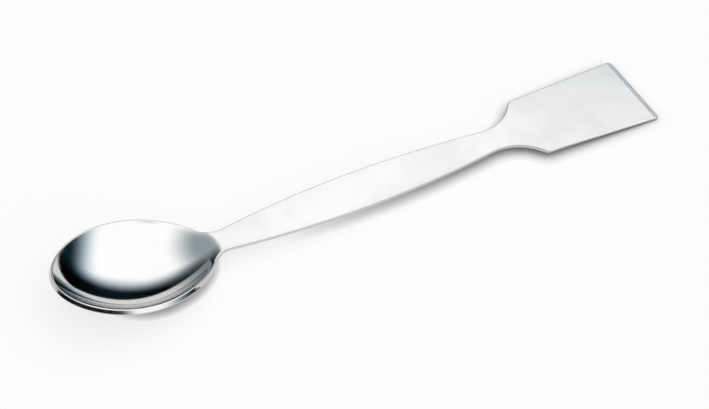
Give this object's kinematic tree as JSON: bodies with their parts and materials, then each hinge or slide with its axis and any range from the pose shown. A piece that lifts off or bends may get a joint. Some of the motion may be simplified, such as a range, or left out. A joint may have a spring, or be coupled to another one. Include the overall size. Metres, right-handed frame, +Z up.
{
  "type": "lab spatula",
  "caption": "One-piece stainless steel laboratory spatula with a spoon bowl at one end and a flat square-ended blade at the other, for scooping and moving powders.",
  "frame": {"origin": "centre of the bounding box in plan, at the table that the part rests on", "axes": "+X from the bowl to the blade, +Y across the sheet, +Z up from the table"},
  "size_m": [0.15, 0.0276, 0.012],
  "materials": {
    "stainless_steel": "polished stainless steel, a little softer on the handle and blade than in the bowl"
  },
  "bodies": {
    "root": {"spatula": "stainless_steel"}
  },
  "joints": []
}
